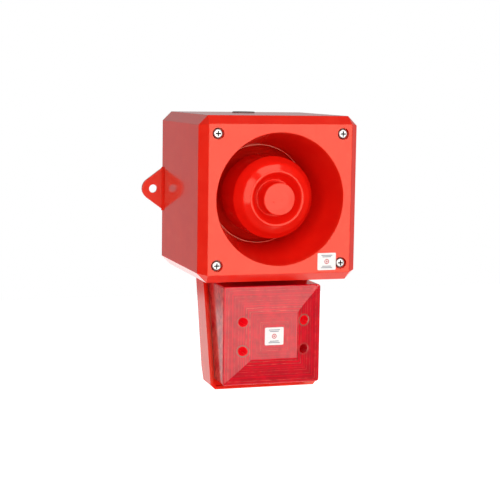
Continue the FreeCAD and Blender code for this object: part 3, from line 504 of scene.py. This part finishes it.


# In both reds the third colour is the flow marks' tone and also the painted highlight along the edges.
RED = moulded_plastic("red_plastic", colour(0.90, 0.018, 0.007), colour(0.80, 0.011, 0.005),
                      colour(0.95, 0.045, 0.022), 0.11)
HORN_RED = moulded_plastic("horn_red_plastic", colour(0.90, 0.012, 0.005), colour(0.82, 0.008, 0.004),
                           colour(0.94, 0.025, 0.012), 0.14)
LENS_RED = lens_plastic()
# Painted shade darkens the cover screws' cross recesses.
STEEL = metal("stainless", colour(0.80, 0.77, 0.74), colour(0.42, 0.41, 0.40), 0.34, (1.0, 0.1, 1.0),
              painted_shade=recess_painted_shade)
PLATED = metal("plated_steel", colour(0.66, 0.65, 0.58), colour(0.42, 0.41, 0.36), 0.28)
IRON = metal("soft_iron", colour(0.40, 0.39, 0.38), colour(0.24, 0.23, 0.22), 0.38)
NICKEL = metal("nickel_brass", colour(0.70, 0.66, 0.55), colour(0.48, 0.44, 0.34), 0.25)
MIRROR = metal("polished_aluminium", colour(0.90, 0.91, 0.92), colour(0.74, 0.75, 0.76), 0.10, (0.1, 1, 1))
BLACK = plain_plastic("black_plastic", colour(0.13, 0.105, 0.10), colour(0.17, 0.14, 0.135), 0.5)
COMPONENT = plain_plastic("component_black", colour(0.020, 0.020, 0.022), colour(0.036, 0.035, 0.036), 0.5)
WHITE = plain_plastic("white_plastic", colour(0.78, 0.76, 0.70), colour(0.66, 0.64, 0.58), 0.38)
GREEN = plain_plastic("terminal_green", colour(0.020, 0.22, 0.055), colour(0.012, 0.15, 0.04), 0.4)
BLUE = plain_plastic("switch_blue", colour(0.02, 0.07, 0.30), colour(0.012, 0.05, 0.22), 0.4)
FERRITE = plain_plastic("ferrite", colour(0.035, 0.033, 0.034), colour(0.060, 0.056, 0.055), 0.55)
SEAL = rubber("rubber_seal", colour(0.010, 0.010, 0.011), colour(0.020, 0.019, 0.019))
GREY_SEAL = rubber("grey_seal", colour(0.22, 0.20, 0.18), colour(0.15, 0.14, 0.13))
WIRE = plain_plastic("wire_red", colour(0.60, 0.012, 0.010), colour(0.45, 0.008, 0.008), 0.42)
BOARD = circuit_board()
SLEEVE = capacitor_sleeve()
COPPER = wound_copper("copper_coil", 0.5 * MM)
GLASS = tube_glass()
FILM = film("diaphragm_film")
LABEL = printed_film("label_white", colour(0.95, 0.90, 0.87), colour(0.88, 0.83, 0.80))
INK = printed_film("label_ink", colour(0.26, 0.26, 0.29), colour(0.20, 0.20, 0.22))
RED_INK = printed_film("label_red_ink", colour(0.62, 0.03, 0.03), colour(0.50, 0.02, 0.02))

FINISHES = {
    "red_housing": RED, "red_horn": HORN_RED, "red_lens": LENS_RED, "stainless": STEEL,
    "plated_steel": PLATED, "soft_iron": IRON, "black_plastic": BLACK, "brass_nickel": NICKEL,
    "rubber_seal": SEAL, "grey_seal": GREY_SEAL, "circuit_board": BOARD, "terminal_green": GREEN,
    "component_black": COMPONENT, "switch_blue": BLUE, "white_plastic": WHITE, "ferrite": FERRITE,
    "capacitor_sleeve": SLEEVE, "tube_glass": GLASS, "polished_aluminium": MIRROR,
    "wire_red": WIRE, "diaphragm_film": FILM, "copper_coil": COPPER, "label_white": LABEL,
}
for node in frame["nodes"].values():
    for socket in node.material_slots:
        socket.material = FINISHES[socket.material.name.split(".")[0]]


# --- Shells with moulded edges ---

softened("rear_housing", "housing_shell", RED, 0.5 * MM, 3)
softened("front_cover", "cover_shell", RED, 0.35 * MM, 2)
softened("strobe_base", "lamp_tray", RED, 0.7 * MM, 3)


# --- Lens ---

# The flat face, the low pyramid about it, the shell's wall and the round edge in front.
LENS_FACE_HALF = 24.7 * MM
LENS_EDGE_Y = LENS_LOW.y + 7.4 * MM
LENS_RISE = LENS_EDGE_Y - LENS_LOW.y
LENS_WALL = 2.4 * MM
LENS_CORNER = 3 * MM
LENS_EDGE_RADIUS = 0.9 * MM
LENS_CREASE = 12
EDGE_STEPS = 9
PYRAMID_SHARES = (0.12, 0.3, 0.55, 0.8, 1.0, 1.6)

# The square prisms inside. Each tooth slopes over most of its pitch and drops back over the rest.
INNER_CORNER = 1.5 * MM
GROOVE_CORNER = 1.2 * MM
GROOVE_PITCH = 1.7 * MM
GROOVE_DEPTH = 0.55 * MM
GROOVE_START = 2.6 * MM
GROOVE_SLOPE_SHARE = 0.82

# The posts behind the pockets, and the holes through their floors.
POST_RADIUS = 6.0 * MM
POST_BACK = -92.0 * MM
POST_SINK = 1.2 * MM
POCKET_FLOOR = -95.0 * MM
SCREW_HOLE_RADIUS = 2.2 * MM
CUTTER_SIDES = 40


def lens_pitch_of(z):
    """How far out a height is on the low pyramid: 0 at the flat face, 1 at the lens's edge."""
    reach = LENS_HIGH.z - LENS_CENTRE_Z if z > LENS_CENTRE_Z else LENS_CENTRE_Z - LENS_LOW.z
    return (abs(z - LENS_CENTRE_Z) - LENS_FACE_HALF) / (reach - LENS_FACE_HALF)


def pyramid_y(x, z):
    """Depth of the lens's outer face at a point."""
    across = (abs(x) - LENS_FACE_HALF) / (LENS_HIGH.x - LENS_FACE_HALF)
    return LENS_EDGE_Y - LENS_RISE * (1 - max(across, lens_pitch_of(z), 0.0))


def rim_line():
    """The slanted back edge of the lens: Y as a straight function of Z."""
    corners = [v.co for v in frame["nodes"]["strobe_lens"].data.vertices
               if abs(v.co.x) > LENS_HIGH.x - 2 * MM]
    top = max(c.y for c in corners if c.z > LENS_HIGH.z - 6 * MM)
    top_z = max(c.z for c in corners if c.y > top - 0.01 * MM)
    low = max(c.y for c in corners if c.z < LENS_LOW.z + 0.1 * MM + LENS_CORNER)
    low_z = max(c.z for c in corners if c.y > low - 0.01 * MM and c.z < LENS_LOW.z + 6 * MM)
    slope = (top - low) / (top_z - low_z)
    return lambda z: top + (z - top_z) * slope


def inset_outline(inset, radius):
    """The lens's outline, drawn in by inset."""
    return rounded_square(LENS_LOW.x + inset, LENS_HIGH.x - inset, LENS_LOW.z + inset,
                          LENS_HIGH.z - inset, max(radius, 0.05 * MM))


def outer_rings(rim):
    """The outside, from the back rim round the edge and up the pyramid to the flat face."""
    outline = inset_outline(0, LENS_CORNER)
    rings = [[(x, rim(z), z) for x, z in outline]]
    for i in range(EDGE_STEPS + 1):
        angle = math.radians(90 * i / EDGE_STEPS)
        inset = LENS_EDGE_RADIUS * (1 - math.cos(angle))
        drop = LENS_EDGE_RADIUS * (1 - math.sin(angle))
        points = inset_outline(inset, LENS_CORNER - inset)
        rings.append([(x, pyramid_y(x, z) + drop, z) for x, z in points])
    reach = LENS_HIGH.x - LENS_FACE_HALF
    for share in PYRAMID_SHARES:
        points = inset_outline(reach * share, LENS_CORNER * (1 - share))
        rings.append([(x, pyramid_y(x, z), z) for x, z in points])
    return rings


def inner_rings(rim):
    """The inside, where the pyramid and face carry square prisms inside each other."""
    outline = inset_outline(LENS_WALL, INNER_CORNER)
    rings = [[(x, rim(z), z) for x, z in outline]]
    rings.append([(x, pyramid_y(x, z) + LENS_WALL + GROOVE_DEPTH, z) for x, z in outline])
    inset = LENS_WALL + GROOVE_START
    while LENS_HIGH.x - inset > 3 * GROOVE_PITCH:
        for step, tooth in ((0.0, 0.0), (GROOVE_PITCH * GROOVE_SLOPE_SHARE, GROOVE_DEPTH)):
            points = inset_outline(inset + step, GROOVE_CORNER)
            rings.append([(x, pyramid_y(x, z) + LENS_WALL + tooth, z) for x, z in points])
        inset += GROOVE_PITCH
    return rings


def lens_shell():
    rim = rim_line()
    bm = bmesh.new()
    outside = loft(bm, outer_rings(rim), close_first=False)
    inside = loft(bm, inner_rings(rim), close_first=False)
    bridge(bm, outside[0], inside[0])
    return bm


def post_tool(name, radius, near_far):
    """One round bar at each pocket place, between its own two depths."""
    bm = bmesh.new()
    for (x, z), (near, far) in zip(pocket_places(), near_far):
        add_turned(bm, [(radius, near), (radius, far)], x, z, CUTTER_SIDES)
    bmesh.ops.recalc_face_normals(bm, faces=bm.faces)
    mesh = bpy.data.meshes.new(name)
    bm.to_mesh(mesh)
    bm.free()
    tool = bpy.data.objects.new(name, mesh)
    bpy.context.scene.collection.objects.link(tool)
    return tool


def combine(piece, tools):
    """Applies boolean tools (operation, object) to a piece's mesh and removes them."""
    for operation, tool in tools:
        modifier = piece.modifiers.new("shape", "BOOLEAN")
        modifier.operation = operation
        modifier.solver = "EXACT"
        modifier.object = tool
    bpy.context.view_layer.update()
    depsgraph = bpy.context.evaluated_depsgraph_get()
    shaped = bpy.data.meshes.new_from_object(piece.evaluated_get(depsgraph))
    piece.modifiers.clear()
    piece.data = shaped
    for operation, tool in tools:
        bpy.data.objects.remove(tool)


def build_lens():
    """The shell, with four posts joined on, pockets sunk into them and holes through the floors."""
    piece = new_piece("lens", lens_shell(), LENS_RED, "lens", LENS_CREASE, "strobe_lens")
    places = pocket_places()
    outside = LENS_LOW.y - 5 * MM
    tubes = post_tool("tubes", POST_RADIUS, [(POST_BACK, pyramid_y(x, z) + POST_SINK) for x, z in places])
    pockets = post_tool("pockets", POCKET_RADIUS, [(POCKET_FLOOR, outside)] * len(places))
    through = (POST_BACK + 5 * MM, POCKET_FLOOR - 1 * MM)
    holes = post_tool("holes", SCREW_HOLE_RADIUS, [through] * len(places))
    combine(piece, [("UNION", tubes), ("DIFFERENCE", pockets), ("DIFFERENCE", holes)])
    piece.data.set_sharp_from_angle(angle=math.radians(LENS_CREASE))


build_lens()


# --- Labels ---

LABEL_CORNER = 1.2 * MM
INK_HEIGHT = 0.03 * MM
LABEL_RINGS = ((2.5 * MM, 1.7 * MM), (0.9 * MM, 0.1 * MM))

# Bars at each end, outermost first: half widths as shares of the width, places as shares of the height.
BAR_HALF_WIDTHS = (0.30, 0.24)
BAR_PLACES = (0.36, 0.275)
BAR_HALF_HEIGHT = 0.42 * MM
BAR_CORNER = 0.2 * MM


def strip(bm, left, right, low, high, near, far, radius):
    """A thin rounded plate facing forward, between two depths."""
    outline = rounded_square(left, right, low, high, radius)
    rim = min(0.08 * MM, (far - near) * -0.4)
    face = rounded_square(left + rim, right - rim, low + rim, high - rim, max(radius - rim, 0.05 * MM))
    loft(bm, [[(x, near, z) for x, z in outline], [(x, far + rim, z) for x, z in outline],
              [(x, far, z) for x, z in face]])


def hoop(bm, centre_x, centre_z, outer, inner, near, far):
    """A flat ring facing forward."""
    section = ((outer, near), (outer, far), (inner, far), (inner, near))
    rings = [circle(centre_x, centre_z, radius, y, 40) for radius, y in section]
    made = loft(bm, rings, close_first=False, close_last=False)
    bridge(bm, made[-1], made[0])


def build_label(node, body):
    """A white plate with a plain printed pattern: a ring between two short bars."""
    low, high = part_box(node)
    bm = bmesh.new()
    strip(bm, low.x, high.x, low.z, high.z, high.y, low.y, LABEL_CORNER)
    new_piece(node + "_plate", bm, LABEL, body, 40, node)
    centre_x, centre_z = (low.x + high.x) / 2, (low.z + high.z) / 2
    width, height = high.x - low.x, high.z - low.z
    front = low.y
    ink = front - INK_HEIGHT
    bm = bmesh.new()
    for side in SIGNS:
        for half, place in zip(BAR_HALF_WIDTHS, BAR_PLACES):
            z = centre_z + side * height * place
            strip(bm, centre_x - width * half, centre_x + width * half, z - BAR_HALF_HEIGHT,
                  z + BAR_HALF_HEIGHT, front, ink, BAR_CORNER)
    new_piece(node + "_bars", bm, INK, body, 40)
    bm = bmesh.new()
    for outer, inner in LABEL_RINGS:
        hoop(bm, centre_x, centre_z, outer, inner, front, ink)
    new_piece(node + "_ring", bm, RED_INK, body, 40)


build_label("horn_label", "cover")
build_label("lens_label", "lens")


# --- Small moulding marks ---

LEFT_GATE = (-6.6 * MM, -2.9 * MM)
RIGHT_GATE = (2.0 * MM, -1.0 * MM)
GATE_RING = (3.1 * MM, 2.7 * MM)


def gate_marks():
    """Two small points on the horn's button where the plastic was fed in, one in a faint ring."""
    bm = bmesh.new()
    for (x, z), radius in ((LEFT_GATE, 0.75 * MM), (RIGHT_GATE, 0.55 * MM)):
        foot, shoulder = (radius, HORN_FRONT + 0.5 * MM), (radius, HORN_FRONT - 0.02 * MM)
        slope, tip = (radius * 0.55, HORN_FRONT - 0.24 * MM), (radius * 0.2, HORN_FRONT - 0.28 * MM)
        add_turned(bm, [foot, shoulder, slope, tip], x, z, 20)
    hoop(bm, *RIGHT_GATE, *GATE_RING, HORN_FRONT + 0.3 * MM, HORN_FRONT - 0.05 * MM)
    new_piece("gate_marks", bm, HORN_RED, "cover", 40)


gate_marks()


# --- Small parts on the circuit boards ---

BOARD_EDGE = 13 * MM
PART_SPACING = 6.5 * MM
PART_GAP = 3 * MM
PART_SHARE = 0.6
PART_SIZES = ((3.2 * MM, 1.6 * MM), (2.0 * MM, 1.25 * MM))
PART_END_SHARE = 0.18


def clear_of(boxes, x, z):
    """Whether a point stands clear of every box."""
    return not any(low.x - PART_GAP < x < high.x + PART_GAP and low.z - PART_GAP < z < high.z + PART_GAP
                   for low, high in boxes)


def board_parts(board, neighbours, body):
    """Rows of small soldered parts where a board is bare, each a dark body between plated ends."""
    low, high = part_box(board)
    boxes = [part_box(name) for name in neighbours]
    bodies, ends = bmesh.new(), bmesh.new()
    x = low.x + BOARD_EDGE
    while x < high.x - BOARD_EDGE:
        z = low.z + BOARD_EDGE
        while z < high.z - BOARD_EDGE:
            if clear_of(boxes, x, z) and random.random() < PART_SHARE:
                length, width = random.choice(PART_SIZES)
                tall = 0.5 * width
                half, side, end = length / 2, width / 2, length * PART_END_SHARE
                add_box(bodies, (x - half + end, low.y - tall, z - side), (x + half - end, low.y, z + side))
                for sign in SIGNS:
                    inner, outer = sorted((x + sign * (half - end), x + sign * half))
                    add_box(ends, (inner, low.y - tall, z - side), (outer, low.y, z + side))
            z += PART_SPACING
        x += PART_SPACING
    for name, bm, material in (("_parts", bodies, COMPONENT), ("_part_ends", ends, PLATED)):
        if bm.faces:
            bevel_edges(new_piece(board + name, bm, material, body, 30), 0.12 * MM, 2)
        else:
            bm.free()


board_parts("main_pcb", ("terminal_block", "tone_switch_case", "volume_pot_case", "transformer",
                         "smoothing_capacitors", "control_chips", "lead_sockets"), "housing")
board_parts("strobe_pcb", ("storage_capacitor", "trigger_coil", "flash_reflector"), "housing")


# --- Studio ---

# Metres, radians and, for the lens and sensor, millimetres.
CAMERA_PLACE = (-0.440975, -1.454098, 0.115343)
CAMERA_TURN, CAMERA_TILT, CAMERA_ROLL = -0.30557, -0.1207, -0.0149
CAMERA_LENS, CAMERA_SENSOR = 99.58, 36.0
LIGHT_AIM = Vector((0, -0.08, -0.05))

# The room's own light, and what each side adds to it: (axis, from, to, amount).
ROOM_LIGHT = 0.13
ROOM_SIDES = (("Y", 0.15, 0.95, 0.25), ("X", -0.3, 0.3, 0.08), ("X", 0.78, 1.0, 0.16))


def make_camera():
    data = bpy.data.cameras.new("camera")
    data.sensor_width = CAMERA_SENSOR
    data.lens = CAMERA_LENS
    camera = bpy.data.objects.new("camera", data)
    turn = Matrix.Rotation(CAMERA_TURN, 4, "Z")
    tilt = Matrix.Rotation(CAMERA_TILT, 4, "X")
    roll = Matrix.Rotation(CAMERA_ROLL, 4, "Y")
    level = Matrix.Rotation(math.radians(90), 4, "X")
    place = Matrix.Translation(CAMERA_PLACE)
    camera.matrix_world = place @ turn @ tilt @ roll @ level
    bpy.context.scene.collection.objects.link(camera)
    bpy.context.scene.camera = camera


def make_softbox(name, azimuth, elevation, distance, width, height, power):
    """A rectangular light facing the object. Azimuth 0 is straight in front, and 90 is right."""
    data = bpy.data.lights.new(name, "AREA")
    data.shape = "RECTANGLE"
    data.size, data.size_y = width, height
    data.energy = power
    lamp = bpy.data.objects.new(name, data)
    a, e = math.radians(azimuth), math.radians(elevation)
    away = Vector((math.sin(a) * math.cos(e), -math.cos(a) * math.cos(e), math.sin(e)))
    lamp.location = LIGHT_AIM + away * distance
    lamp.rotation_euler = away.to_track_quat("Z", "Y").to_euler()
    bpy.context.scene.collection.objects.link(lamp)


def make_world():
    """White for the camera; otherwise a dim room with a paler backdrop behind the object."""
    world = bpy.data.worlds.new("studio")
    world.use_nodes = True
    tree = world.node_tree
    tree.nodes.clear()
    direction = add_node(tree, "ShaderNodeTexCoord").outputs["Generated"]
    axes = add_node(tree, "ShaderNodeSeparateXYZ", {0: direction}).outputs
    total = ROOM_LIGHT
    for axis, low, high, amount in ROOM_SIDES:
        side = add_node(tree, "ShaderNodeMapRange", {
            "Value": axes[axis], "From Min": low, "From Max": high, "To Min": 0.0, "To Max": amount,
        }, interpolation_type="SMOOTHSTEP")
        total = add_node(tree, "ShaderNodeMath", {0: total, 1: side.outputs["Result"]}).outputs[0]
    lit = add_node(tree, "ShaderNodeBackground", {"Color": total, "Strength": 1.0})
    plain = add_node(tree, "ShaderNodeBackground", {"Color": colour(1, 1, 1), "Strength": 1.0})
    seen = add_node(tree, "ShaderNodeLightPath").outputs["Is Camera Ray"]
    mixed = add_node(tree, "ShaderNodeMixShader", {0: seen, 1: lit.outputs[0], 2: plain.outputs[0]})
    add_node(tree, "ShaderNodeOutputWorld", {"Surface": mixed.outputs[0]})
    bpy.context.scene.world = world


def make_floor():
    """A pale floor some way below, bright enough to meet the backdrop without a line."""
    bm = bmesh.new()
    half, front, back, top, thick = 2.5, -0.35, 3.0, -0.60, 0.01
    add_box(bm, (-half, front, top - thick), (half, back, top))
    mesh = bpy.data.meshes.new("floor")
    bm.to_mesh(mesh)
    bm.free()
    f = Finish("pale_floor", Emission_Strength=1.0)
    f.shader.inputs["Emission Color"].default_value = colour(1, 1, 1)
    tone = f.blend(f.spread(f.noise(0.4), 0.0, 1.0), colour(0.86, 0.86, 0.86), colour(0.83, 0.83, 0.83))
    mesh.materials.append(f.finish(tone, 0.8))
    floor = bpy.data.objects.new("floor", mesh)
    bpy.context.scene.collection.objects.link(floor)


make_camera()
make_world()
make_floor()
make_softbox("softbox", 5, 6, 2.2, 2.24, 1.9, 39.0)
make_softbox("left_panel", -46, 12, 2.0, 0.7, 1.8, 9.0)
make_softbox("top_panel", 5, 55, 2.0, 1.5, 0.7, 8.0)
bpy.context.scene.view_settings.view_transform = "Standard"
